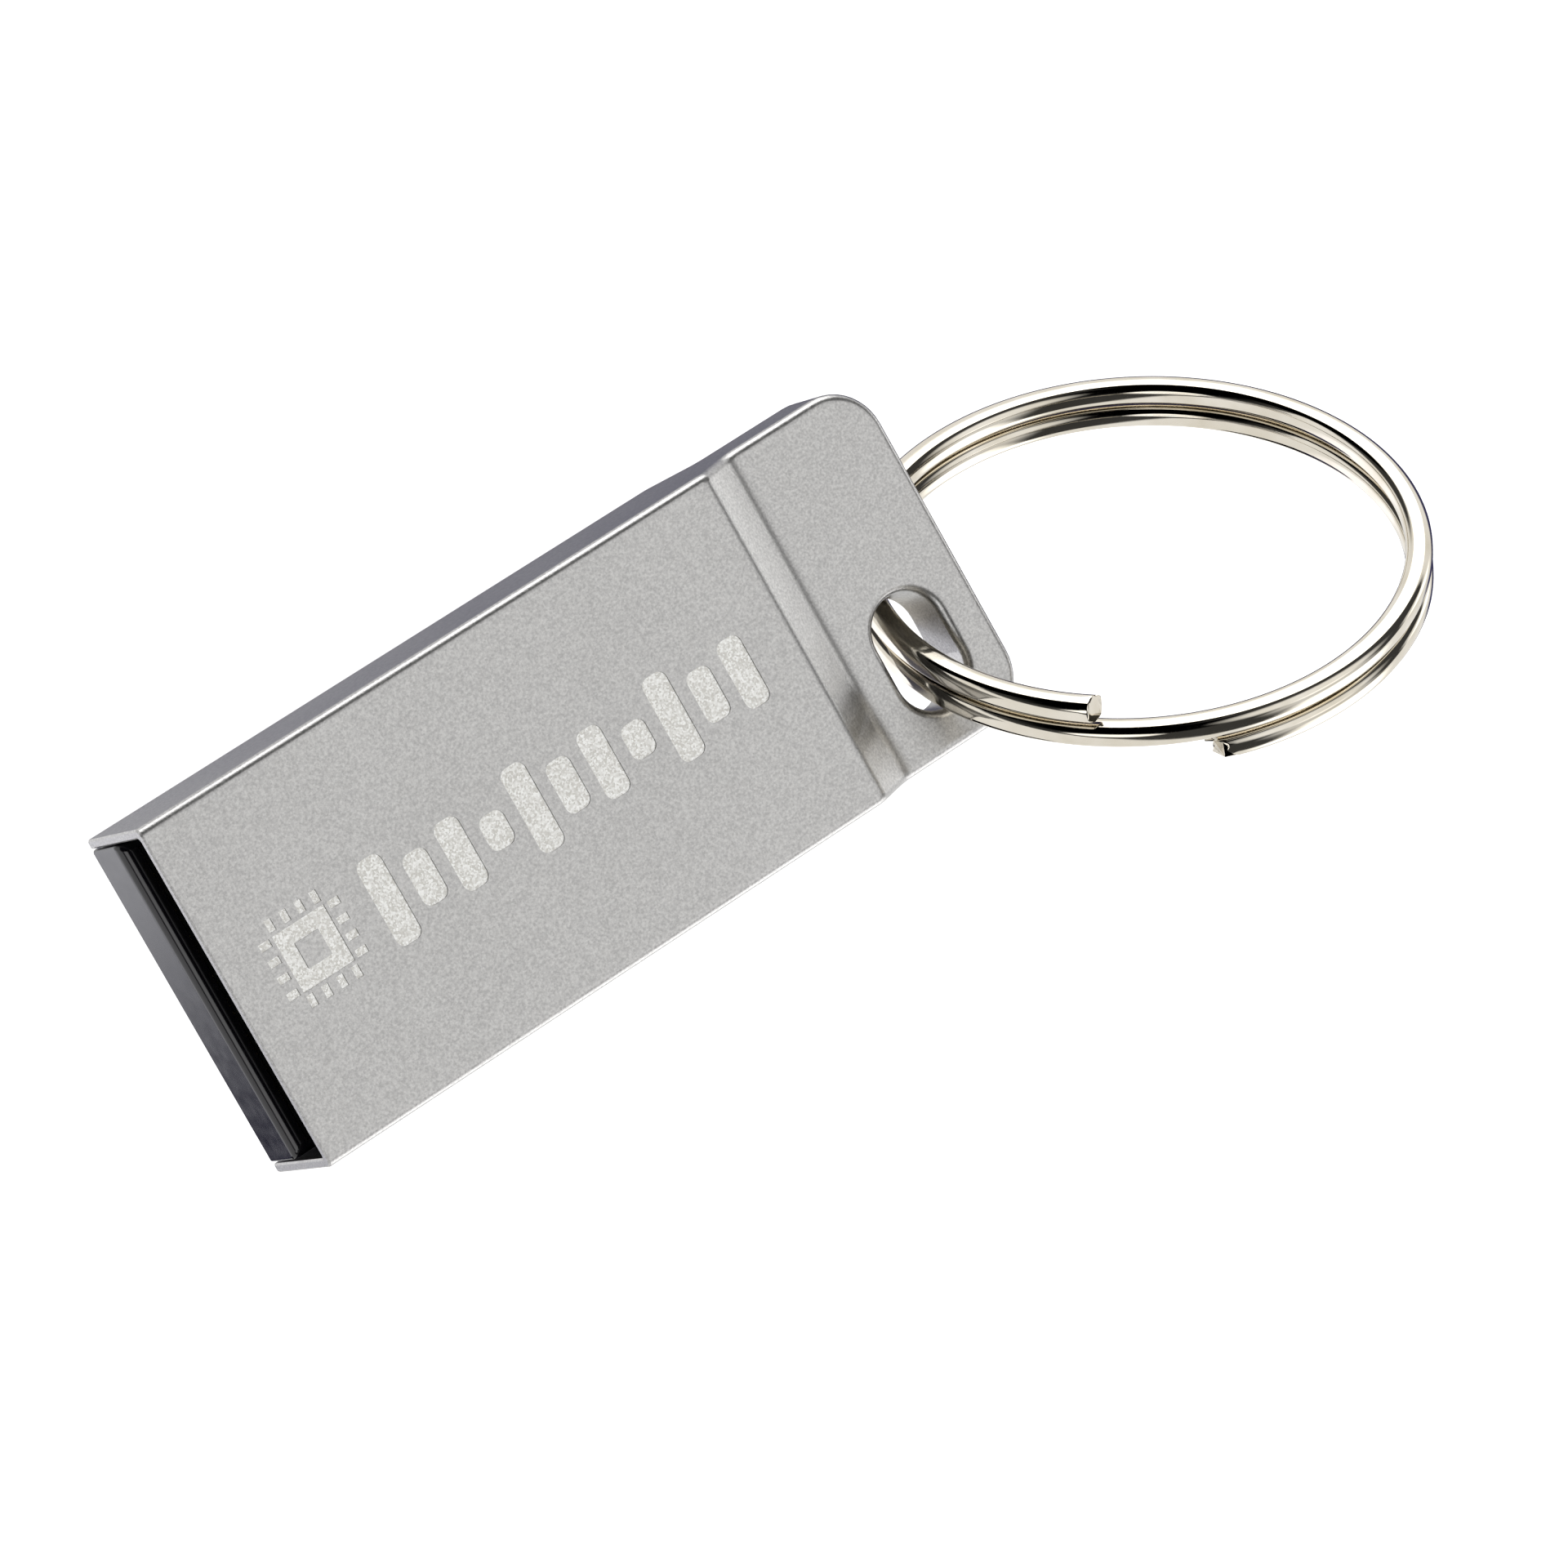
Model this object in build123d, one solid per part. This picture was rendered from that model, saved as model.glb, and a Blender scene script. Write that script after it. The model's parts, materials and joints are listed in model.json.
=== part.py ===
from build123d import *
from math import cos, hypot, radians, sin
import os

# USB flash drive with a metal housing, a memory module in its plug end and a split key ring.
# Millimetres. +X runs from the plug's mouth to the ring tab, +Z out of the front face, and the
# origin is the centre of the plug's mouth.

# ---- housing ----
body_width = 12.0          # plug shell width
body_thick = 4.5           # plug shell height
body_length = 29.2         # mouth to the end of the tab
wall = 0.32                # wall round the cavity
fold_radius = 0.3          # rounded long edges of the front face
back_edge_radius = 0.1     # broken edge round the back
mouth_edge_break = 0.06    # broken edge round the mouth
inner_corner_radius = 0.15
end_wall = 1.05            # solid metal from the cavity to the steps

# ---- stepped-down tab ----
tab_length = 5.35          # flat part, from the foot of the steps to the end
step_length = 1.5
front_step = 1.0
back_step = 1.1
crease_radius = 0.55       # convex bend at the top of a step
valley_radius = 1.0        # concave bend at its foot
tab_corner_radius = 1.8
hole_play = 0.32           # room left all round the ring's two turns
hole_end_gap = 1.47        # from the hole's wall to the end of the tab
hole_side_gap = 1.32       # from the hole's wall to the tab's lower side
hole_lip_radius = 0.3      # rounded mouths of the hole

# ---- etched mark: a chip sign and a row of bars ----
etch_depth = 0.03
mark_start = 1.5           # mouth to the chip sign's pins
chip_sign_side = 2.0
chip_sign_window = 0.9
pin_count = 4
pin_width = 0.26
pin_length = 0.42
pin_gap = 0.12
bar_width = 0.95
bar_pitch = 1.42
bar_heights = (3.0, 1.8, 2.4, 1.2)
bar_row_gap = 0.93         # chip sign's pins to the first bar
bar_row_end_gap = 1.5      # last bar to the step, at least

# ---- carrier: the plastic tongue and back ----
side_clearance = 0.05      # carrier and retainer to the housing's walls
end_clearance = 0.1
tongue_height = 2.2        # back face to the top of the tongue's rim
tray_floor = 0.65
rim = 0.36                 # side rims of the tray
lip = 0.58                 # front rim of the tray
lip_radius = 0.42          # rounded top edge of the tongue's end
tongue_corner_radius = 0.12
groove_depth = 0.2         # glue groove in each side
groove_height = 0.5
groove_start = 11.5
groove_end_gap = 1.7       # groove to the carrier's inner end

# ---- retainer behind the plug space ----
plug_depth = 12.6          # mouth to the retainer
retainer_wall = 0.9
retainer_rib = 0.8
retainer_roof = 0.6
foot_width = 0.9           # feet that press on the module
foot_side_gap = 0.3        # foot to the module's side
foot_end_gap = 0.5         # foot to the tray's end wall

# ---- memory module ----
module_clearance = 0.04    # module to the tray
module_recess = 0.05       # module's face below the tray's rim
adhesive_thick = 0.06
adhesive_margin = 0.4
core_thick = 0.26          # laminate core
mask_thick = 0.03          # solder mask, each side
contact_thick = 0.04
contact_width = 1.3
contact_gap = 0.05         # contact to its window in the mask
contact_end = 8.6          # mouth to the inner end of every contact
power_contact_length = 7.4
data_contact_length = 6.4
power_contact_offset = 3.5
data_contact_offset = 1.0

# ---- dies and what joins them to the core ----
die_thick = 0.15
film_thick = 0.03
controller_length = 2.8
controller_width = 2.4
flash_start = 9.0          # mouth to the lower flash die
flash_end_gap = 2.8        # flash die to the module's end, with the bond fingers between
flash_side_gap = 1.33      # flash die to the module's side
flash_stagger = 0.7        # each flash die leaves its neighbour's pads clear
pad_inset = 0.25           # bond pad to the die's edge
finger_length = 0.5
finger_width = 0.2
finger_gap = 0.45          # die edge to its bond fingers
wire_diameter = 0.05
wire_rise = 0.16           # top of the loop above the higher end
flash_wire_pitch = 0.8
controller_wire_count = 5
controller_wire_pitch = 0.48

# ---- small components ----
chip_length = 1.0          # capacitors and resistors
chip_width = 0.5
capacitor_height = 0.45
resistor_height = 0.32
terminal_length = 0.25
component_gap = 0.15       # components of the rear row to the flash dies
component_side_gap = 0.73  # outermost component to the module's side
component_pitch = 1.2      # from one component of a row to the next
crystal_length = 1.6
crystal_width = 2.0
crystal_height = 0.5
crystal_corner_radius = 0.2
crystal_front_gap = 0.78   # crystal to the module's front end

# ---- split ring: one wire, wound nearly twice round ----
ring_outer_diameter = 18.92
ring_wire_width = 0.88     # across the ring
ring_wire_height = 0.78    # along the ring's axis
ring_wire_radius = 0.3     # rounded corners of the wire
ring_turn_gap = 0.14       # between the two turns
ring_open_angle = 21.1     # between the wire's two ends
ring_upper_end_slant = 20.0  # cut of the upper end, from square
ring_lower_end_slant = 45.0  # and of the lower end
ring_end_roll = 35.0       # the cuts face outwards and this much away from the other turn
ring_end_tip = 0.15        # share of the wire left square at the inner corner
ring_axis_lean = 53.9      # ring's axis from +Z
ring_axis_heading = 83.6   # ring's axis round +Z from +X
ring_hang_angle = -8.1     # the loop's centre, turned from +X within the ring's plane
ring_end_angle = 49.0      # from the hole, along the wire, to its upper end

# ---- modelling values ----
overshoot = 1.0            # how far a cutting block runs past what it cuts
tolerance = 0.01           # for finding edges by their place


def ring_directions():
    """The ring's axis, the way from the hole to its centre, and the way its wire passes the hole."""
    lean = radians(ring_axis_lean)
    heading = radians(ring_axis_heading)
    axis = Vector(sin(lean) * cos(heading), sin(lean) * sin(heading), cos(lean))
    outward = (Vector(1, 0, 0) - axis * axis.X).normalized()
    outward = outward.rotate(Axis((0, 0, 0), axis), ring_hang_angle)
    return axis, outward, axis.cross(outward)


# ---- derived sizes ----
half_width = body_width / 2
half_thick = body_thick / 2
step_end = body_length - tab_length
step_start = step_end - step_length
cavity_length = step_start - end_wall
cavity_half = half_width - wall
ceiling = half_thick - wall
tab_top = half_thick - front_step
tab_bottom = back_step - half_thick
tab_middle = (tab_top + tab_bottom) / 2
tab_thick = tab_top - tab_bottom
ring_axis, ring_outward, ring_through = ring_directions()
ring_radius = (ring_outer_diameter - ring_wire_width) / 2
ring_pitch = ring_wire_height + ring_turn_gap
pair_height = ring_pitch + ring_wire_height
slant = abs(ring_through.Y / ring_through.Z)
pair_across = pair_height * (ring_axis.Y + ring_axis.Z * slant)
drift = (tab_thick - 2 * hole_lip_radius) * slant
hole_width = hypot(pair_height, ring_wire_width) + 2 * hole_play
hole_height = pair_across + drift + 2 * hole_play
hole_x = body_length - hole_end_gap - hole_width / 2
hole_y = hole_side_gap + hole_height / 2 - half_width
carrier_length = cavity_length - end_clearance
carrier_half = cavity_half - side_clearance
rim_top = tongue_height - half_thick
floor_top = tray_floor - half_thick
tray_half = carrier_half - rim
tray_end = carrier_length - rim
module_start = lip + module_clearance
module_end = tray_end - module_clearance
module_half = tray_half - module_clearance
module_face = rim_top - module_recess
core_top = module_face - mask_thick
core_bottom = core_top - core_thick
chip_side = core_bottom - mask_thick
mould_bottom = floor_top + adhesive_thick
groove_end = carrier_length - groove_end_gap
mark_end = mark_start + 2 * (pin_length + pin_gap) + chip_sign_side
bar_row_start = mark_end + bar_row_gap
bar_row_room = step_start - bar_row_end_gap - bar_row_start
bar_count = int((bar_row_room - bar_width) / bar_pitch) + 1
flash_length = module_end - flash_end_gap - flash_start
flash_width = 2 * (module_half - flash_side_gap)
flash_wire_count = int((flash_width - 2 * pad_inset) / flash_wire_pitch)
rear_row_x = flash_start - flash_stagger - component_gap - chip_width / 2
front_row_x = module_start + crystal_front_gap + crystal_length / 2
controller_x = (front_row_x + rear_row_x) / 2
outer_row_y = module_half - component_side_gap - chip_length / 2
inner_row_y = outer_row_y - component_pitch
crystal_y = module_half - component_side_gap - crystal_width / 2
capacitor_places = (
    (rear_row_x, outer_row_y),
    (rear_row_x, inner_row_y),
    (rear_row_x, -inner_row_y),
    (rear_row_x, -outer_row_y),
    (front_row_x, -outer_row_y),
)
resistor_places = (
    (front_row_x, -inner_row_y),
    (front_row_x, component_pitch - inner_row_y),
    (rear_row_x, 0),
)


def block(x, y, z):
    """Box from three (low, high) pairs."""
    size = [high - low for low, high in (x, y, z)]
    middle = [(high + low) / 2 for low, high in (x, y, z)]
    return Pos(*middle) * Box(*size)


def write(node, shape):
    shape.label = node
    export_step(shape, f"parts/{node}.step")


def group(shapes):
    return Compound(children=list(shapes))


def corner_edges(shape, x, z):
    """Edges that run across the housing at one corner of its side profile."""
    found = []
    for edge in shape.edges().filter_by(Axis.Y):
        middle = edge.center()
        if abs(middle.X - x) < tolerance and abs(middle.Z - z) < tolerance:
            found.append(edge)
    return found


# ======== housing ========
def side_profile():
    outline = Polyline(
        (0, -half_thick),
        (step_start, -half_thick),
        (step_end, tab_bottom),
        (body_length, tab_bottom),
        (body_length, tab_top),
        (step_end, tab_top),
        (step_start, half_thick),
        (0, half_thick),
        close=True,
    )
    return Plane.XZ * make_face(outline)


def outer_housing():
    shell = extrude(side_profile(), amount=half_width, both=True)
    ends = shell.edges().filter_by(Axis.Z).group_by(Axis.X)[-1]
    shell = fillet(ends, tab_corner_radius)
    for z in (half_thick, -half_thick):
        shell = fillet(corner_edges(shell, step_start, z), crease_radius)
    for z in (tab_top, tab_bottom):
        shell = fillet(corner_edges(shell, step_end, z), valley_radius)
    shell = fillet(rim_edges(shell, 1), fold_radius)
    return fillet(rim_edges(shell, -1), back_edge_radius)


def rim_edges(shell, side):
    """Edges round the front (side 1) or the back (side -1), except across the mouth."""
    found = []
    for edge in shell.edges():
        box = edge.bounding_box()
        across = box.max.Y - box.min.Y > half_width
        along_z = box.max.Z - box.min.Z > tab_thick - tolerance
        at_mouth = box.max.X < tolerance
        middle = edge.position_at(0.5)
        at_side = abs(abs(middle.Y) - half_width) < tolerance
        at_end = middle.X > body_length - tab_corner_radius - tolerance
        if along_z or at_mouth or (across and not at_end):
            continue
        if (at_side or at_end) and middle.Z * side > 0:
            found.append(edge)
    return found


def cavity():
    """Room for the module: open at the mouth and at the back."""
    below = -half_thick - overshoot
    room = block((-overshoot, cavity_length), (-cavity_half, cavity_half), (below, ceiling))
    room = fillet(room.edges().filter_by(Axis.X).group_by(Axis.Z)[-1], inner_corner_radius)
    return fillet(room.edges().filter_by(Axis.Z).group_by(Axis.X)[-1], inner_corner_radius)


def with_ring_hole(shell):
    """Cuts the slot through the tab and rounds its mouth at both faces."""
    slot = Pos(hole_x, hole_y, tab_middle) * SlotOverall(hole_height, hole_width, rotation=90)
    shell -= extrude(slot, amount=tab_thick / 2 + overshoot, both=True)
    reach = hole_height / 2 + tolerance
    mouths = []
    for edge in shell.edges():
        middle = edge.position_at(0.5)
        near = abs(middle.X - hole_x) < reach and abs(middle.Y - hole_y) < reach
        on_face = abs(abs(middle.Z - tab_middle) - tab_thick / 2) < tolerance
        if near and on_face:
            mouths.append(edge)
    return fillet(mouths, hole_lip_radius)


def etched_mark():
    """Generic sign: a chip with pins on four sides, then a row of bars of set heights."""
    centre = mark_start + pin_length + pin_gap + chip_sign_side / 2
    sign = Rectangle(chip_sign_side, chip_sign_side) - Rectangle(chip_sign_window, chip_sign_window)
    reach = chip_sign_side / 2 + pin_gap + pin_length / 2
    spread = chip_sign_side - pin_width
    for index in range(pin_count):
        place = spread * (index / (pin_count - 1) - 0.5)
        for turn in range(4):
            sign += Rot(0, 0, 90 * turn) * Pos(reach, place) * Rectangle(pin_length, pin_width)
    shapes = [Pos(centre, 0) * sign]
    first = bar_row_start + bar_width / 2
    for index in range(bar_count):
        height = bar_heights[index % len(bar_heights)]
        bar = RectangleRounded(bar_width, height, bar_width / 3)
        shapes.append(Pos(first + index * bar_pitch, 0) * bar)
    return [extrude(Pos(0, 0, half_thick - etch_depth) * s, amount=overshoot) for s in shapes]


def mouth_edges(shell):
    """Edges of the sheet's ends at the mouth."""
    return [e for e in shell.edges() if e.bounding_box().max.X < tolerance]


def housing():
    shell = outer_housing() - cavity()
    shell = chamfer(mouth_edges(shell), mouth_edge_break)
    shell = with_ring_hole(shell)
    for sign in etched_mark():
        shell -= sign
    return shell


# ======== carrier, retainer and glue ========
def glue_groove(side):
    y = sorted((side * (carrier_half - groove_depth), side * (carrier_half + overshoot)))
    low = floor_top - groove_height / 2
    return block((groove_start, groove_end), y, (low, low + groove_height))


def module_carrier():
    tray = block((0, carrier_length), (-carrier_half, carrier_half), (-half_thick, rim_top))
    tray = fillet(tray.edges().filter_by(Axis.Z).group_by(Axis.X)[0], tongue_corner_radius)
    top = [e for e in tray.edges() if abs(e.center().Z - rim_top) < tolerance]
    front = [e for e in top if e.center().X < tongue_corner_radius]
    tray = fillet(front, lip_radius)
    tray -= block((lip, tray_end), (-tray_half, tray_half), (floor_top, rim_top + overshoot))
    for side in (1, -1):
        tray -= glue_groove(side)
    return tray


def glue_beads():
    beads = []
    for side in (1, -1):
        y = sorted((side * (carrier_half - groove_depth), side * cavity_half))
        low = floor_top - groove_height / 2
        beads.append(block((groove_start, groove_end), y, (low, low + groove_height)))
    return group(beads)


def rear_retainer():
    """Hollow block that holds the module down behind the plug space."""
    half = cavity_half - side_clearance
    top = ceiling - side_clearance
    solid = block((plug_depth, carrier_length), (-half, half), (rim_top, top))
    solid = fillet(solid.edges().filter_by(Axis.X).group_by(Axis.Z)[-1], inner_corner_radius)
    room_x = (plug_depth + retainer_wall, carrier_length - retainer_wall)
    inner_half = half - retainer_wall
    for side in (1, -1):
        y = sorted((side * retainer_rib / 2, side * inner_half))
        solid -= block(room_x, y, (rim_top - overshoot, top - retainer_roof))
    foot_y = foot_side_gap - module_half
    foot_x = (plug_depth, tray_end - foot_end_gap)
    foot = block(foot_x, (foot_y, foot_y + foot_width), (module_face, rim_top))
    return solid + foot + mirror(foot, Plane.XZ)


# ======== memory module ========
contacts = {
    "contact_vbus": (power_contact_offset, power_contact_length),
    "contact_data_minus": (data_contact_offset, data_contact_length),
    "contact_data_plus": (-data_contact_offset, data_contact_length),
    "contact_ground": (-power_contact_offset, power_contact_length),
}


def contact(offset_y, length, grow=0):
    half = contact_width / 2 + grow
    x = (contact_end - length - grow, contact_end + grow)
    return block(x, (offset_y - half, offset_y + half), (core_top, core_top + contact_thick))


def layer(low, high):
    return block((module_start, module_end), (-module_half, module_half), (low, high))


def contact_side_mask():
    mask = layer(core_top, module_face)
    for offset_y, length in contacts.values():
        mask -= contact(offset_y, length, contact_gap)
    return mask


# Everything on the chip side hangs below the core, so its heights count down from chip_side.
def slab(x, y, length, width, top, thick):
    return block((x - length / 2, x + length / 2), (y - width / 2, y + width / 2), (top - thick, top))


controller_film_bottom = chip_side - film_thick
controller_face = controller_film_bottom - die_thick


def flash_level(index):
    """Top of the film of one flash die, counted from the core."""
    return chip_side - index * (film_thick + die_thick)


def flash_x(index):
    return flash_start + flash_length / 2 - index * flash_stagger


def flash_film(index):
    return slab(flash_x(index), 0, flash_length, flash_width, flash_level(index), film_thick)


def flash_die(index):
    top = flash_level(index) - film_thick
    return slab(flash_x(index), 0, flash_length, flash_width, top, die_thick)


def wire_ends():
    """Start and end of every bond wire: on a die's face, then on its bond finger."""
    ends = []
    finger_x = flash_start + flash_length + finger_gap + finger_length / 2
    for index in range(2):
        pad_x = flash_x(index) + flash_length / 2 - pad_inset
        face = flash_level(index + 1)
        for place in range(flash_wire_count):
            y = (place - (flash_wire_count - 1) / 2) * flash_wire_pitch + index * flash_wire_pitch / 2
            ends.append(((pad_x, y, face), (finger_x, y, chip_side)))
    for side in (1, -1):
        pad_y = side * (controller_width / 2 - pad_inset)
        finger_y = side * (controller_width / 2 + finger_gap + finger_length / 2)
        for place in range(controller_wire_count):
            x = controller_x + (place - (controller_wire_count - 1) / 2) * controller_wire_pitch
            ends.append(((x, pad_y, controller_face), (x, finger_y, chip_side)))
    return ends


def bond_wire(start, end):
    start = Vector(*start) - Vector(0, 0, wire_diameter / 2)
    end = Vector(*end) - Vector(0, 0, wire_diameter / 2)
    middle = (start + end) * 0.5
    top = Vector(middle.X, middle.Y, min(start.Z, end.Z) - wire_rise)
    path = ThreePointArc(start, top, end)
    section = Plane(origin=path @ 0, z_dir=path % 0) * Circle(wire_diameter / 2)
    return sweep(section, path=path)


def bond_finger(start, end, grow=0):
    along_x = abs(end[0] - start[0]) > abs(end[1] - start[1])
    size = (finger_length, finger_width) if along_x else (finger_width, finger_length)
    return slab(end[0], end[1], size[0] + grow, size[1] + grow, core_bottom, mask_thick)


def terminal_places():
    places = []
    for x, y in capacitor_places + resistor_places:
        for side in (1, -1):
            places.append((x, y + side * (chip_length - terminal_length) / 2))
    half_row = (crystal_length - terminal_length) / 2
    half_column = (crystal_width - terminal_length) / 2
    for dx in (half_row, -half_row):
        for dy in (half_column, -half_column):
            places.append((front_row_x + dx, crystal_y + dy))
    return places


def solder_joint(x, y):
    return slab(x, y, terminal_length, terminal_length, core_bottom, mask_thick)


def chip_side_mask():
    mask = layer(chip_side, core_bottom)
    for start, end in wire_ends():
        mask -= bond_finger(start, end)
    for x, y in terminal_places():
        mask -= solder_joint(x, y)
    return mask


def chip_component(x, y, height):
    """Ceramic body between two plated ends, lying across the module."""
    middle = chip_length - 2 * terminal_length
    parts = [slab(x, y, chip_width, middle, chip_side, height)]
    for side in (1, -1):
        end_y = y + side * (chip_length - terminal_length) / 2
        parts.append(slab(x, end_y, chip_width, terminal_length, chip_side, height))
    return parts


def component_group(places, height):
    return group(part for x, y in places for part in chip_component(x, y, height))


def crystal():
    body = slab(front_row_x, crystal_y, crystal_length, crystal_width, chip_side, crystal_height)
    return fillet(body.edges().filter_by(Axis.Z), crystal_corner_radius)


def module_pieces():
    ends = wire_ends()
    pieces = {
        "controller_attach_film": slab(controller_x, 0, controller_length, controller_width,
                                       chip_side, film_thick),
        "controller_die": slab(controller_x, 0, controller_length, controller_width,
                               controller_film_bottom, die_thick),
        "flash_attach_film_lower": flash_film(0),
        "flash_die_lower": flash_die(0),
        "flash_attach_film_upper": flash_film(1),
        "flash_die_upper": flash_die(1),
        "bond_wires": group(bond_wire(start, end) for start, end in ends),
        "capacitors": component_group(capacitor_places, capacitor_height),
        "resistors": component_group(resistor_places, resistor_height),
        "clock_crystal": crystal(),
    }
    mould = layer(mould_bottom, chip_side)
    for shape in pieces.values():
        mould -= shape.solids()
    pieces["mould_cap"] = mould
    pieces["bond_fingers"] = group(bond_finger(start, end) for start, end in ends)
    pieces["solder_joints"] = group(solder_joint(x, y) for x, y in terminal_places())
    pieces["chip_side_mask"] = chip_side_mask()
    pieces["laminate_core"] = layer(core_bottom, core_top)
    pieces["contact_side_mask"] = contact_side_mask()
    for node, (offset_y, length) in contacts.items():
        pieces[node] = contact(offset_y, length)
    pieces["module_adhesive"] = block(
        (module_start + adhesive_margin, module_end - adhesive_margin),
        (adhesive_margin - module_half, module_half - adhesive_margin),
        (floor_top, mould_bottom),
    )
    return pieces


# ======== split ring ========
def ring_centre():
    """Centre of the ring's middle plane, which puts the wire's two turns mid-way in the hole."""
    stack_shift = (ring_end_angle + ring_open_angle / 2) / 360
    pair_offset = ring_axis * ring_pitch * (0.5 - stack_shift)
    return Vector(hole_x, hole_y, tab_middle) - pair_offset + ring_outward * ring_radius


def slanted_cut(end, along, away, slant):
    """Block that cuts the wire's end slantwise, and leaves the inner corner beside the other turn."""
    axis_way = away * sin(radians(ring_end_roll))
    inward = Vector(end.X, end.Y, 0).normalized() * -1
    outward_way = inward * -cos(radians(ring_end_roll))
    slope = radians(slant)
    facing = along * cos(slope) + (outward_way + axis_way) * sin(slope)
    keep = 0.5 - ring_end_tip
    corner = end + inward * ring_wire_width * keep - away * ring_wire_height * keep
    reach = 2 * ring_wire_width
    bottom = (Align.CENTER, Align.CENTER, Align.MIN)
    ahead = Plane(origin=corner, z_dir=facing).location * Box(4 * reach, 4 * reach, reach, align=bottom)
    foot = end - away * (ring_wire_height / 2 + ring_turn_gap / 3)
    turn = Plane(origin=foot, z_dir=away).location * Box(2 * reach, 2 * reach, reach, align=bottom)
    return ahead & turn


def key_ring():
    turns = 2 - ring_open_angle / 360
    to_hole = ring_outward * -1
    lower_end = to_hole.rotate(Axis((0, 0, 0), ring_axis), ring_end_angle + ring_open_angle)
    base = ring_centre() - ring_axis * ring_pitch * turns / 2
    start = Plane(origin=base, x_dir=lower_end, z_dir=ring_axis)
    path = Helix(ring_pitch, ring_pitch * turns, ring_radius)
    section = RectangleRounded(ring_wire_width, ring_wire_height, ring_wire_radius)
    section = Plane(origin=path @ 0, x_dir=(1, 0, 0), z_dir=path % 0) * section
    wire = sweep(section, path=path, is_frenet=True)
    up = Vector(0, 0, 1)
    wire -= slanted_cut(path @ 0, path % 0 * -1, up * -1, ring_lower_end_slant)
    wire -= slanted_cut(path @ 1, path % 1, up, ring_upper_end_slant)
    return start.location * wire


if __name__ == "__main__":
    os.makedirs("parts", exist_ok=True)
    write("housing", housing())
    write("module_carrier", module_carrier())
    write("glue_beads", glue_beads())
    write("rear_retainer", rear_retainer())
    for node, shape in module_pieces().items():
        write(node, shape)
    write("key_ring", key_ring())
    print("ring centre", ring_centre())
    print("ring axis", ring_axis)
    print("swing axis", ring_through)
    print("hole centre", hole_x, hole_y, tab_middle)
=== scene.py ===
import bpy
import json
from math import cos, pi, radians, sin
from mathutils import Matrix, Vector


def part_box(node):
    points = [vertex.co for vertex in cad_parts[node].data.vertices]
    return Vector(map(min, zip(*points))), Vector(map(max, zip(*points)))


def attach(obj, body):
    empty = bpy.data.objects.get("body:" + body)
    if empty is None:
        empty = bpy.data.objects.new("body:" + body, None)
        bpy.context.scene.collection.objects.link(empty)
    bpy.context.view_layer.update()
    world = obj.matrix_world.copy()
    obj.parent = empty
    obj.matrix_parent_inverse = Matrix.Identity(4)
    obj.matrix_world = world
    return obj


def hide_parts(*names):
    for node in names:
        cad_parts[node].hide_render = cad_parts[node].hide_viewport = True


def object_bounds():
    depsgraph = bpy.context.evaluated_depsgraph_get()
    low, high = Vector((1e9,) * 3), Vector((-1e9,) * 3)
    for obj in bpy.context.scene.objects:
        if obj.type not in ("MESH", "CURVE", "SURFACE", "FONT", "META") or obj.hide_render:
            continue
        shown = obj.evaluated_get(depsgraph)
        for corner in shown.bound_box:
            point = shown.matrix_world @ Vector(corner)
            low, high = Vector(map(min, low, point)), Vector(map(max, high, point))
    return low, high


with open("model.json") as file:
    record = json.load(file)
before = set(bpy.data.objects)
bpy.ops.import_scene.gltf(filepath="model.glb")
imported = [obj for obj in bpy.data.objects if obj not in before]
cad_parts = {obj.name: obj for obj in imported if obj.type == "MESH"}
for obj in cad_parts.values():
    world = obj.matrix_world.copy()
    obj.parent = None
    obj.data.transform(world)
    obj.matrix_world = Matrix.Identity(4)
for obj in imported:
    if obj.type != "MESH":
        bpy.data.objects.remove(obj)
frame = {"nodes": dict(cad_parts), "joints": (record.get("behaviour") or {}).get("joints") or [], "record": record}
cadLow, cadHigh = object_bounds()
nodes = frame["nodes"]
mm = 0.001
print("frame loaded:", len(nodes), "nodes")


def hexColour(code):  # sRGB hex to the linear colour that the shaders take
    parts = [int(code[i:i + 2], 16) / 255 for i in (1, 3, 5)]
    return tuple(p / 12.92 if p <= 0.04045 else ((p + 0.055) / 1.055) ** 2.4 for p in parts) + (1,)


def deselectAll():
    for thing in bpy.context.selected_objects:
        thing.select_set(False)


def makeActive(thing):
    deselectAll()
    thing.select_set(True)
    bpy.context.view_layer.objects.active = thing


def applyAll(thing):
    makeActive(thing)
    for modifier in list(thing.modifiers):
        bpy.ops.object.modifier_apply(modifier=modifier.name)


def applyPlace(thing):  # the piece's place goes into its mesh
    makeActive(thing)
    bpy.ops.object.transform_apply(location=True, rotation=True, scale=True)


def newMaterial(name):
    material = bpy.data.materials.new(name)
    material.use_nodes = True
    tree = material.node_tree
    return material, tree, tree.nodes["Principled BSDF"]


def addNode(tree, kind, settings=None, links=None):  # one node, its settings, and what feeds it
    node = tree.nodes.new(kind)
    for key, value in (settings or {}).items():
        if key == "stops":
            fillStops(node.color_ramp.elements, value)
        elif isinstance(key, str) and hasattr(node, key):
            setattr(node, key, value)
        else:
            node.inputs[key].default_value = value
    for key, source in (links or {}).items():
        tree.links.new(source, node.inputs[key])
    return node


def fillStops(elements, stops):  # places and colours along a colour ramp
    while len(elements) < len(stops):
        elements.new(0.5)
    for element, (place, colour) in zip(elements, stops):
        element.position = place
        element.color = hexColour(colour) if isinstance(colour, str) else (colour, colour, colour, 1)


def repeats(size):  # a pattern's scale, in repeats per metre, from its size in mm
    return 1 / (size * mm)


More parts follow.
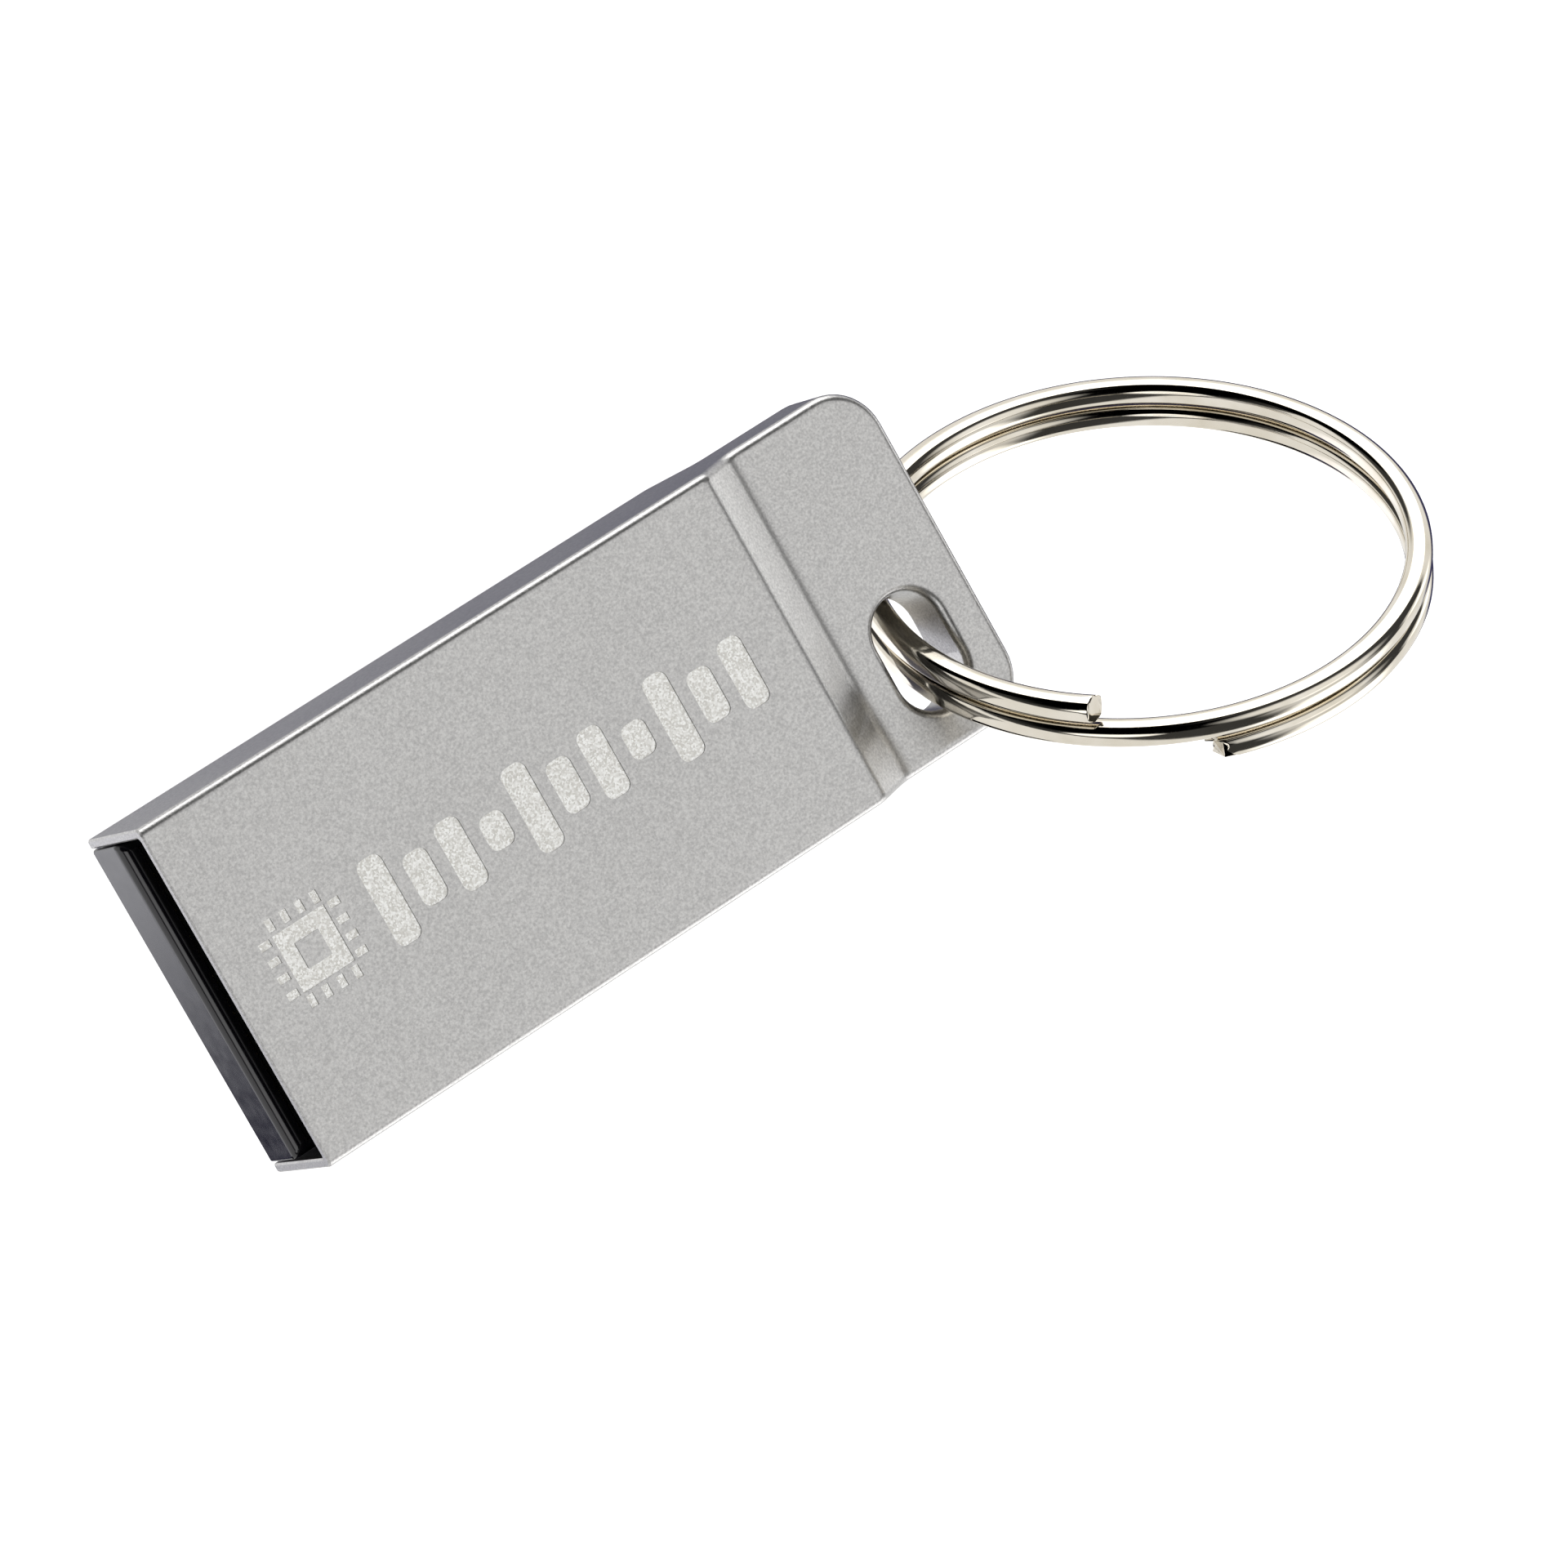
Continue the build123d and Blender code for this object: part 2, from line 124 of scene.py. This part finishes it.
def feed(tree, shader, **sources):  # patterns into the shader's sockets
    names = {"colour": "Base Color", "roughness": "Roughness", "normal": "Normal"}
    for key, source in sources.items():
        tree.links.new(source, shader.inputs[names[key]])


housingFinish = {
    "metal": ((0.32, "#AEADAC"), (0.68, "#CECDCB")),   # floors and tops of the grit's dimples, the floors darkened with painted shade
    "etched": ((0.15, "#D8D6D0"), (0.9, "#FFFFFC")),   # dull and bright facets of the laser-etched mark
    "grit": 0.085,             # mm, real grit leaves about 0.03, drawn coarser to show
    "cloud": 5.0,              # mm, soft unevenness of the blasting
    "spark": 0.06,             # mm, the mark's facets, drawn coarser too
    "roughness": (0.31, 0.37),
    "etchedRoughness": 0.4,
    "etchDepth": 0.03,         # mm
    "etchMargin": 0.006,       # mm, over and under the mark's floor
    "level": 0.999,            # upward part of the normal, over which a face counts as level
    "relief": 0.25,
    "etchedRelief": 0.35,
    "reliefDepth": 0.02,       # mm
}


def blastedSteel():  # stainless steel, bead-blasted: an even satin grey with a fine sparkle and no grain
    finish = housingFinish
    material, tree, shader = newMaterial("beadBlastedSteel")
    place = addNode(tree, "ShaderNodeTexCoord").outputs["Object"]
    grain = addNode(tree, "ShaderNodeTexNoise",
                    {"Scale": repeats(finish["grit"]), "Detail": 2.0, "Roughness": 0.65}, {"Vector": place})
    cloud = addNode(tree, "ShaderNodeTexNoise", {"Scale": repeats(finish["cloud"]), "Detail": 2.0},
                    {"Vector": place})
    spark = addNode(tree, "ShaderNodeTexVoronoi", {"Scale": repeats(finish["spark"])}, {"Vector": place})
    facets = addNode(tree, "ShaderNodeSeparateColor", links={"Color": spark.outputs["Color"]})
    # the grit's colour, with painted shade in its dimple floors and the tops left lighter
    metal = addNode(tree, "ShaderNodeValToRGB", {"stops": finish["metal"]}, {"Fac": grain.outputs["Fac"]})
    etched = addNode(tree, "ShaderNodeValToRGB", {"stops": finish["etched"]}, {"Fac": facets.outputs["Red"]})
    # the mark's floor lies just under the front face, and looks up
    height = addNode(tree, "ShaderNodeSeparateXYZ", links={"Vector": place}).outputs["Z"]
    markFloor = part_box("housing")[1].z - finish["etchDepth"] * mm
    low = addNode(tree, "ShaderNodeMath",
                  {"operation": "COMPARE", 1: markFloor, 2: finish["etchMargin"] * mm}, {0: height})
    facing = addNode(tree, "ShaderNodeNewGeometry").outputs["Normal"]
    upward = addNode(tree, "ShaderNodeSeparateXYZ", links={"Vector": facing}).outputs["Z"]
    flat = addNode(tree, "ShaderNodeMath", {"operation": "GREATER_THAN", 1: finish["level"]}, {0: upward})
    mark = addNode(tree, "ShaderNodeMath", {"operation": "MULTIPLY"}, {0: low.outputs[0], 1: flat.outputs[0]})
    colour = addNode(tree, "ShaderNodeMix", {"data_type": "RGBA"},
                     {"Factor": mark.outputs[0], "A": metal.outputs["Color"], "B": etched.outputs["Color"]})
    smoothest, roughest = finish["roughness"]
    metalRough = addNode(tree, "ShaderNodeMapRange", {"To Min": smoothest, "To Max": roughest},
                         {"Value": cloud.outputs["Fac"]})
    rough = addNode(tree, "ShaderNodeMix", {"data_type": "FLOAT", "B": finish["etchedRoughness"]},
                    {"Factor": mark.outputs[0], "A": metalRough.outputs["Result"]})
    reliefDepth = finish["reliefDepth"] * mm
    bump = addNode(tree, "ShaderNodeBump", {"Strength": finish["relief"], "Distance": reliefDepth},
                   {"Height": grain.outputs["Fac"]})
    dents = addNode(tree, "ShaderNodeMath", {"operation": "MULTIPLY"},
                    {0: mark.outputs[0], 1: facets.outputs["Green"]})
    etchBump = addNode(tree, "ShaderNodeBump", {"Strength": finish["etchedRelief"], "Distance": reliefDepth},
                       {"Height": dents.outputs[0], "Normal": bump.outputs["Normal"]})
    feed(tree, shader, colour=colour.outputs["Result"], roughness=rough.outputs["Result"],
         normal=etchBump.outputs["Normal"])
    shader.inputs["Metallic"].default_value = 1.0
    return material


ringFinish = {
    "nickel": ((0.35, "#E2DCD0"), (0.7, "#D2CAB9")),   # warmer in patches, from the plating bath
    "patch": 1.8,              # mm
    "roughness": ((0.35, 0.055), (0.75, 0.105)),       # duller in the marks left by drawing the wire
    "drawMarks": 0.12,         # mm
    "relief": 0.06,
    "reliefDepth": 0.01,       # mm
}


def brightNickel():  # steel wire, nickel-plated bright: a warm mirror whose gloss is faintly uneven
    finish = ringFinish
    material, tree, shader = newMaterial("brightNickelPlate")
    place = addNode(tree, "ShaderNodeTexCoord").outputs["Object"]
    patches = addNode(tree, "ShaderNodeTexNoise", {"Scale": repeats(finish["patch"]), "Detail": 3.0},
                      {"Vector": place})
    marks = addNode(tree, "ShaderNodeTexNoise", {"Scale": repeats(finish["drawMarks"]), "Detail": 2.0},
                    {"Vector": place})
    colour = addNode(tree, "ShaderNodeValToRGB", {"stops": finish["nickel"]}, {"Fac": patches.outputs["Fac"]})
    rough = addNode(tree, "ShaderNodeValToRGB", {"stops": finish["roughness"]}, {"Fac": marks.outputs["Fac"]})
    bump = addNode(tree, "ShaderNodeBump",
                   {"Strength": finish["relief"], "Distance": finish["reliefDepth"] * mm},
                   {"Height": patches.outputs["Fac"]})
    feed(tree, shader, colour=colour.outputs["Color"], roughness=rough.outputs["Color"],
         normal=bump.outputs["Normal"])
    shader.inputs["Metallic"].default_value = 1.0
    return material


laminateFinish = {
    "cloth": ((0.1, "#8E7A3E"), (0.6, "#B9A566")),     # bare resin, and resin over the glass threads
    "thread": 0.45,            # mm between threads of the cloth
    "wander": 0.4,             # how crooked the threads run
    "roughness": ((0.0, 0.42), (1.0, 0.54)),
    "relief": 0.3,
    "reliefDepth": 0.01,       # mm
    "IOR": 1.55,
}
bandsPerUnit = 3.2             # that a Wave node draws


def wovenGlass():  # epoxy pressed over woven glass: yellowish brown, with the cloth's squares showing through
    finish = laminateFinish
    material, tree, shader = newMaterial("wovenGlassLaminate")
    place = addNode(tree, "ShaderNodeTexCoord").outputs["Object"]
    threads = {"Scale": repeats(finish["thread"]) / bandsPerUnit, "Distortion": finish["wander"]}
    warp = addNode(tree, "ShaderNodeTexWave", {"bands_direction": "X", **threads}, {"Vector": place})
    weft = addNode(tree, "ShaderNodeTexWave", {"bands_direction": "Y", **threads}, {"Vector": place})
    cloth = addNode(tree, "ShaderNodeMath", {"operation": "MULTIPLY"},
                    {0: warp.outputs["Fac"], 1: weft.outputs["Fac"]})
    colour = addNode(tree, "ShaderNodeValToRGB", {"stops": finish["cloth"]}, {"Fac": cloth.outputs[0]})
    rough = addNode(tree, "ShaderNodeValToRGB", {"stops": finish["roughness"]}, {"Fac": cloth.outputs[0]})
    bump = addNode(tree, "ShaderNodeBump",
                   {"Strength": finish["relief"], "Distance": finish["reliefDepth"] * mm},
                   {"Height": cloth.outputs[0]})
    feed(tree, shader, colour=colour.outputs["Color"], roughness=rough.outputs["Color"],
         normal=bump.outputs["Normal"])
    shader.inputs["IOR"].default_value = finish["IOR"]
    return material


# Each look: two colours that the pattern runs between, the pattern's size in mm, how much it is drawn out
# along X, Y and Z, the roughness at both ends, the relief's strength, and the material's own constants.
looks = {
    "mouldedBlackPolycarbonate": {  # glossy tongue: a black mirror, softened a little by the mould's polish
        "colours": ("#121116", "#18171C"), "size": 0.5, "roughness": (0.08, 0.15), "relief": 0.04,
        "IOR": 1.585},
    "mouldedBlackNylon": {  # glass-filled, from a spark-eroded mould: dull, fine and pebbled
        "colours": ("#0F0F10", "#1B1B1C"), "size": 0.2, "roughness": (0.45, 0.62), "relief": 0.25,
        "IOR": 1.53},
    "curedClearEpoxy": {  # dispensed beads: amber, wet-looking, with small bubbles
        "colours": ("#D9C790", "#E6DAB2"), "size": 0.25, "roughness": (0.08, 0.2), "relief": 0.1,
        "IOR": 1.54, "Transmission Weight": 0.5},
    "acrylicTransferTape": {  # rolled film: milky, soft and slightly crinkled
        "colours": ("#C9C2A8", "#D9D3BD"), "size": 0.8, "roughness": (0.35, 0.5), "relief": 0.15,
        "IOR": 1.47},
    "printedBlackSolderMask": {  # screen-printed and cured: near-black with the print's orange peel
        "colours": ("#0E110F", "#151A17"), "size": 0.35, "roughness": (0.22, 0.34), "relief": 0.12,
        "IOR": 1.5},
    "printedGreenSolderMask": {  # the same ink in green, over bare laminate
        "colours": ("#12562F", "#1A6A3B"), "size": 0.35, "roughness": (0.22, 0.34), "relief": 0.12,
        "IOR": 1.5},
    "goldPlatedCopper": {  # plated pads: warm satin gold, rubbed along the way the plug slides
        "colours": ("#D9B25E", "#E8C678"), "size": 0.06, "stretch": (0.06, 1, 1), "roughness": (0.16, 0.32),
        "relief": 0.12, "Metallic": 1.0},
    "drawnGoldWire": {  # bright soft wire, drawn through a die
        "colours": ("#E3B75A", "#F0CB76"), "size": 0.05, "stretch": (0.3, 1, 1), "roughness": (0.12, 0.22),
        "relief": 0.05, "Metallic": 1.0},
    "reflowedSolder": {  # tin alloy, frozen from melt: bright with dull grains
        "colours": ("#B9BBBE", "#D5D7DA"), "size": 0.12, "roughness": (0.2, 0.42), "relief": 0.2,
        "Metallic": 1.0},
    "polishedSilicon": {  # ground and polished wafer: a dark blue-grey mirror
        "colours": ("#2B2E38", "#363A46"), "size": 0.6, "roughness": (0.06, 0.12), "relief": 0.02,
        "IOR": 3.5},
    "curedAttachFilm": {  # filled adhesive under a die: pale, matt
        "colours": ("#CFC8B4", "#DDD7C6"), "size": 0.1, "roughness": (0.5, 0.65), "relief": 0.1,
        "IOR": 1.52},
    "nickelPlatedCan": {  # pressed lid of the crystal: plated, faintly rolled along its length
        "colours": ("#C4C3BF", "#D6D5D2"), "size": 0.08, "stretch": (0.15, 1, 1), "roughness": (0.18, 0.3),
        "relief": 0.08, "Metallic": 1.0},
    "firedCeramic": {  # barium titanate, fired: tan and dry with a fine grain
        "colours": ("#8A6A47", "#A07E58"), "size": 0.07, "roughness": (0.45, 0.6), "relief": 0.15,
        "IOR": 2.0},
    "thickFilmResistor": {  # printed black glass over alumina: semi-gloss, slightly rippled
        "colours": ("#101010", "#1E1E1F"), "size": 0.15, "roughness": (0.25, 0.4), "relief": 0.12,
        "IOR": 1.6},
    "transferMouldedEpoxy": {  # silica-filled moulding compound: charcoal, matt, with a spark-eroded grain
        "colours": ("#1C1C1E", "#28282A"), "size": 0.1, "roughness": (0.5, 0.65), "relief": 0.3,
        "IOR": 1.55},
}


# what all of them share
pattern = {
    "colourSpan": (0.35, 0.65),     # values of the noise that the two colours stand at
    "roughnessSpan": (0.3, 0.7),
    "reliefDepth": 0.01,            # mm
}


def patternedFinish(name):
    look = looks[name]
    material, tree, shader = newMaterial(name)
    place = addNode(tree, "ShaderNodeTexCoord").outputs["Object"]
    drawnOut = addNode(tree, "ShaderNodeMapping", {"Scale": look.get("stretch", (1, 1, 1))},
                       {"Vector": place})
    noise = addNode(tree, "ShaderNodeTexNoise", {"Scale": repeats(look["size"]), "Detail": 4.0},
                    {"Vector": drawnOut.outputs["Vector"]}).outputs["Fac"]
    colour = addNode(tree, "ShaderNodeValToRGB",
                     {"stops": tuple(zip(pattern["colourSpan"], look["colours"]))}, {"Fac": noise})
    rough = addNode(tree, "ShaderNodeValToRGB",
                    {"stops": tuple(zip(pattern["roughnessSpan"], look["roughness"]))}, {"Fac": noise})
    bump = addNode(tree, "ShaderNodeBump",
                   {"Strength": look["relief"], "Distance": pattern["reliefDepth"] * mm}, {"Height": noise})
    feed(tree, shader, colour=colour.outputs["Color"], roughness=rough.outputs["Color"],
         normal=bump.outputs["Normal"])
    for constant in ("Metallic", "IOR", "Transmission Weight"):
        if constant in look:
            shader.inputs[constant].default_value = look[constant]
    return material


# finish of each CAD node
wornBy = {
    "mouldedBlackPolycarbonate": ("module_carrier",),
    "mouldedBlackNylon": ("rear_retainer",),
    "curedClearEpoxy": ("glue_beads",),
    "acrylicTransferTape": ("module_adhesive",),
    "printedBlackSolderMask": ("contact_side_mask",),
    "printedGreenSolderMask": ("chip_side_mask",),
    "goldPlatedCopper": ("contact_vbus", "contact_data_minus", "contact_data_plus", "contact_ground",
                         "bond_fingers"),
    "drawnGoldWire": ("bond_wires",),
    "reflowedSolder": ("solder_joints",),
    "polishedSilicon": ("controller_die", "flash_die_lower", "flash_die_upper"),
    "curedAttachFilm": ("controller_attach_film", "flash_attach_film_lower", "flash_attach_film_upper"),
    "nickelPlatedCan": ("clock_crystal",),
    "firedCeramic": ("capacitors",),
    "thickFilmResistor": ("resistors",),
    "transferMouldedEpoxy": ("mould_cap",),
}


def wear(name, material):
    slots = nodes[name].data.materials
    slots.clear()
    slots.append(material)


wear("housing", blastedSteel())
wear("laminate_core", wovenGlass())
nickel = brightNickel()
wear("key_ring", nickel)
for finish, names in wornBy.items():
    material = patternedFinish(finish)
    for name in names:
        wear(name, material)
print("materials made and worn")


# one flattened wire, wound nearly twice round, its sizes in mm as on the CAD node
ringValues = {
    "outerDiameter": 18.915,
    "wireWidth": 0.88,
    "wireHeight": 0.78,
    "wireRadius": 0.3,
    "turnGap": 0.14,
    "openAngle": 21.1,         # degrees between the wire's two ends
    "endAngle": 49.0,          # from the hole to the upper end
    "upperSlant": 20.0,        # the cuts of the two ends, from square
    "lowerSlant": 45.0,
    "cutRoll": 35.0,           # how far a cut's slant leans towards the turn beside it
    "cutTip": 0.15,            # share of the wire that the cut leaves at its tip
    "cutReach": 1.8,           # how far from an end a cut may reach, in wire widths
    "cutBevel": 0.07,          # worn edge of a cut
    "stepsPerTurn": 192,
    "cornerSteps": 7,
    "bevelSteps": 3,
    "mergeWithin": 0.0001,
    "smoothUnder": 35,         # degrees
}


def wireSection(radius):  # flattened wire's outline, standing in the XZ plane
    ring = ringValues
    deselectAll()
    bpy.ops.mesh.primitive_plane_add(size=1, location=(radius, 0, 0), rotation=(pi / 2, 0, 0))
    wire = bpy.context.object
    wire.scale = (ring["wireWidth"] * mm, ring["wireHeight"] * mm, 1)
    applyPlace(wire)
    bpy.ops.object.mode_set(mode="EDIT")
    bpy.ops.mesh.select_all(action="SELECT")
    bpy.ops.mesh.bevel(offset=ring["wireRadius"] * mm, segments=ring["cornerSteps"], affect="VERTICES")
    bpy.ops.mesh.select_all(action="SELECT")
    bpy.ops.mesh.delete(type="ONLY_FACE")
    bpy.ops.object.mode_set(mode="OBJECT")
    return wire


def windWire(wire, turns, pitch):
    screw = wire.modifiers.new("coil", "SCREW")
    screw.angle = 2 * pi * turns
    screw.screw_offset = pitch * turns
    screw.steps = round(ringValues["stepsPerTurn"] * turns)
    screw.render_steps = screw.steps
    applyAll(wire)
    bpy.ops.object.mode_set(mode="EDIT")
    bpy.ops.mesh.select_all(action="SELECT")
    bpy.ops.mesh.remove_doubles(threshold=ringValues["mergeWithin"] * mm)
    bpy.ops.mesh.fill_holes(sides=0)
    bpy.ops.mesh.select_all(action="SELECT")
    bpy.ops.mesh.normals_make_consistent(inside=False)
    bpy.ops.object.mode_set(mode="OBJECT")


def cutEnd(wire, end, along, away, slant):  # slanting cut that leaves the inner corner beside the other turn
    ring = ringValues
    roll, slope = radians(ring["cutRoll"]), radians(slant)
    inward = Vector((-end.x, -end.y, 0)).normalized()
    facing = (along * cos(slope) + (away * sin(roll) - inward * cos(roll)) * sin(slope)).normalized()
    keep = 0.5 - ring["cutTip"]
    corner = end + (inward * ring["wireWidth"] * keep - away * ring["wireHeight"] * keep) * mm
    halfPitch = (ring["wireHeight"] + ring["turnGap"]) / 2 * mm
    reach = ring["cutReach"] * ring["wireWidth"] * mm
    makeActive(wire)
    bpy.ops.object.mode_set(mode="EDIT")
    bpy.ops.mesh.select_mode(type="FACE")
    bpy.ops.mesh.select_all(action="DESELECT")
    bpy.ops.object.mode_set(mode="OBJECT")
    for face in wire.data.polygons:  # this end only, not the turn beside it
        offset = face.center - end
        face.select = offset.length < reach and offset.dot(away) > -halfPitch
    bpy.ops.object.mode_set(mode="EDIT")
    bpy.ops.mesh.bisect(plane_co=corner, plane_no=facing, use_fill=True, clear_outer=True)
    bpy.ops.mesh.select_all(action="DESELECT")
    bpy.ops.object.mode_set(mode="OBJECT")
    sameWay = 0.99
    for face in wire.data.polygons:  # the cut itself: a face of many corners that looks along the cut
        face.select = len(face.vertices) > 4 and face.normal.dot(facing) > sameWay
    bpy.ops.object.mode_set(mode="EDIT")
    bpy.ops.mesh.region_to_loop()
    bpy.ops.mesh.bevel(offset=ring["cutBevel"] * mm, segments=ring["bevelSteps"], affect="EDGES",
                       clamp_overlap=True)
    bpy.ops.object.mode_set(mode="OBJECT")


def makeRing():
    ring = ringValues
    loop = next(mount for mount in frame["record"]["mounts"] if mount["name"] == "ring_loop")
    centre, axis = Vector(loop["pos_m"]), Vector(loop["axis"])
    toHole = axis.cross(Vector(frame["joints"][0]["axis"])).normalized()
    radius = (ring["outerDiameter"] - ring["wireWidth"]) / 2 * mm
    pitch = (ring["wireHeight"] + ring["turnGap"]) * mm
    turns = 2 - ring["openAngle"] / 360
    wire = wireSection(radius)
    windWire(wire, turns, pitch)
    wire.name = wire.data.name = "split_key_ring"
    up = Vector((0, 0, 1))
    start = Vector((radius, 0, 0))
    forward = Vector((0, 1, pitch / (2 * pi * radius))).normalized()
    spin = Matrix.Rotation(2 * pi * turns, 3, "Z")
    cutEnd(wire, start, -forward, -up, ring["lowerSlant"])
    cutEnd(wire, spin @ start + up * pitch * turns, spin @ forward, up, ring["upperSlant"])
    lowerEnd = Matrix.Rotation(radians(ring["endAngle"] + ring["openAngle"]), 3, axis) @ toHole
    turn = Matrix((lowerEnd, axis.cross(lowerEnd), axis)).transposed().to_4x4()
    wire.matrix_world = Matrix.Translation(centre - axis * pitch * turns / 2) @ turn
    applyPlace(wire)
    bpy.ops.object.shade_smooth_by_angle(angle=radians(ring["smoothUnder"]))
    wire.data.materials.append(nickel)
    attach(wire, "ring")
    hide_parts("key_ring")


makeRing()
print("key ring wound")


cameraView = {
    "place": (-84.94, 34.73, 235.36),   # mm
    "right": (0.7658, -0.4843, 0.4230),
    "up": (0.5000, 0.8621, 0.0819),
    "lens": 188.12,                     # mm
    "sensor": 36,                       # mm
    "nearest": 10,                      # mm, and the farthest that it sees
    "farthest": 10000,
}


def makeCamera():
    right, up = Vector(cameraView["right"]), Vector(cameraView["up"])
    data = bpy.data.cameras.new("camera")
    data.lens = cameraView["lens"]
    data.sensor_width = cameraView["sensor"]
    data.clip_start = cameraView["nearest"] * mm
    data.clip_end = cameraView["farthest"] * mm
    camera = bpy.data.objects.new("camera", data)
    bpy.context.scene.collection.objects.link(camera)
    turn = Matrix((right, up, right.cross(up))).transposed().to_4x4()
    camera.matrix_world = Matrix.Translation(Vector(cameraView["place"]) * mm) @ turn
    bpy.context.scene.camera = camera


makeCamera()
print("camera placed")


studio = {
    "floorDrop": 0.05,         # mm, floor under the ring's lowest point
    "floorSize": 3000,         # mm
    "floorColour": "#F4F4F4",
    "floorRoughness": 0.9,
    "floorGlow": 0.95,         # a light table: lit from below too, so its shadows stay soft
    "backdrop": 1.0,
}

# what stands round the object: sine of the height over the horizon, then its brightness
surround = (
    (-1.0, 1.0),               # the white table
    (0.0, 1.0),
    (0.13, 1.0),               # the tent's edge
    (0.19, 0.05),              # the dim room over it
    (1.0, 0.05),
)

# direction, half angle and soft edge in degrees, light added in red, green and blue
lamps = {
    "softBox": ((0.38, -0.15, 0.91), 28, 10, (1.02, 1.02, 1.02)),     # big, over the ring's side
    "dimmerBox": ((0.42, -0.74, 0.52), 20, 9, (0.75, 0.75, 0.75)),    # beside it
    "lowBox": ((0.97, -0.16, 0.10), 12, 5, (1.0, 1.0, 1.0)),          # beyond the ring
    "strongBox": ((0.48, 0.86, 0.10), 16, 6, (3.4, 3.4, 3.4)),        # behind the long side
    "upperBlackCard": ((-0.10, 0.95, 0.28), 26, 5, (-1.05, -1.05, -1.05)),
    "lowerBlackCard": ((-0.15, 0.95, -0.25), 24, 5, (-0.95, -0.95, -0.95)),
    "sideBox": ((0.40, -0.90, -0.05), 18, 8, (1.5, 1.5, 1.5)),        # before the other long side
    "greyCloth": ((-0.42, 0.30, 0.86), 38, 8, (-0.05, -0.05, -0.05)),  # over the mouth's end
    "mouthBox": ((-0.78, -0.27, 0.54), 16, 4, (1.6, 1.6, 1.6)),       # behind the mouth
    "ownShade": ((0.72, 0.10, -0.69), 28, 4, (-0.95, -0.95, -0.88)),  # of the object, on the table
    "brightPatch": ((-0.36, -0.05, -0.93), 22, 9, (0.45, 0.45, 0.52)),  # of the table, under the mouth
    "tableShade": ((-0.38, -0.40, -0.83), 16.6, 1.3, (-1.4, -1.4, -1.42)),  # painted shade on the table, dark, beside that patch
}


def makeFloor():
    deselectAll()
    level = cadLow.z - studio["floorDrop"] * mm
    bpy.ops.mesh.primitive_plane_add(size=studio["floorSize"] * mm, location=(0, 0, level))
    floor = bpy.context.object
    floor.name = "floor"
    material, tree, shader = newMaterial("whiteLightTable")
    shader.inputs["Base Color"].default_value = hexColour(studio["floorColour"])
    shader.inputs["Roughness"].default_value = studio["floorRoughness"]
    shader.inputs["Emission Color"].default_value = (1, 1, 1, 1)
    shader.inputs["Emission Strength"].default_value = studio["floorGlow"]
    floor.data.materials.append(material)
    floor.visible_glossy = False  # the surround's lower half stands for it in the metal


def makeWorld():
    world = bpy.data.worlds.new("studio")
    world.use_nodes = True
    bpy.context.scene.world = world
    tree = world.node_tree
    way = addNode(tree, "ShaderNodeTexCoord").outputs["Generated"]
    height = addNode(tree, "ShaderNodeSeparateXYZ", links={"Vector": way}).outputs["Z"]
    # sines from -1 to 1 lie along the ramp from 0 to 1
    share = addNode(tree, "ShaderNodeMath", {"operation": "MULTIPLY_ADD", 1: 0.5, 2: 0.5}, {0: height})
    stops = tuple(((sine + 1) / 2, level) for sine, level in surround)
    total = addNode(tree, "ShaderNodeValToRGB", {"stops": stops}, {"Fac": share.outputs[0]}).outputs["Color"]
    for direction, angle, edge, light in lamps.values():
        aim = Vector(direction).normalized()
        dot = addNode(tree, "ShaderNodeVectorMath", {"operation": "DOT_PRODUCT", 1: aim}, {0: way})
        spot = addNode(tree, "ShaderNodeMapRange",
                       {"interpolation_type": "SMOOTHSTEP", "From Min": cos(radians(angle + edge)),
                        "From Max": cos(radians(angle - edge))}, {"Value": dot.outputs["Value"]})
        tinted = addNode(tree, "ShaderNodeVectorMath", {"operation": "SCALE", 0: light},
                         {"Scale": spot.outputs["Result"]})
        total = addNode(tree, "ShaderNodeVectorMath", {"operation": "ADD"},
                        {0: total, 1: tinted.outputs[0]}).outputs[0]
    # cards take light away, but never below black
    total = addNode(tree, "ShaderNodeVectorMath", {"operation": "MAXIMUM", 1: (0, 0, 0)},
                    {0: total}).outputs[0]
    rays = addNode(tree, "ShaderNodeLightPath").outputs["Is Camera Ray"]
    white = (studio["backdrop"],) * 3 + (1,)
    seen = addNode(tree, "ShaderNodeMix", {"data_type": "RGBA", "B": white}, {"Factor": rays, "A": total})
    tree.links.new(seen.outputs["Result"], tree.nodes["Background"].inputs["Color"])


makeFloor()
makeWorld()
bpy.context.scene.view_settings.view_transform = "Standard"
print("stage set")
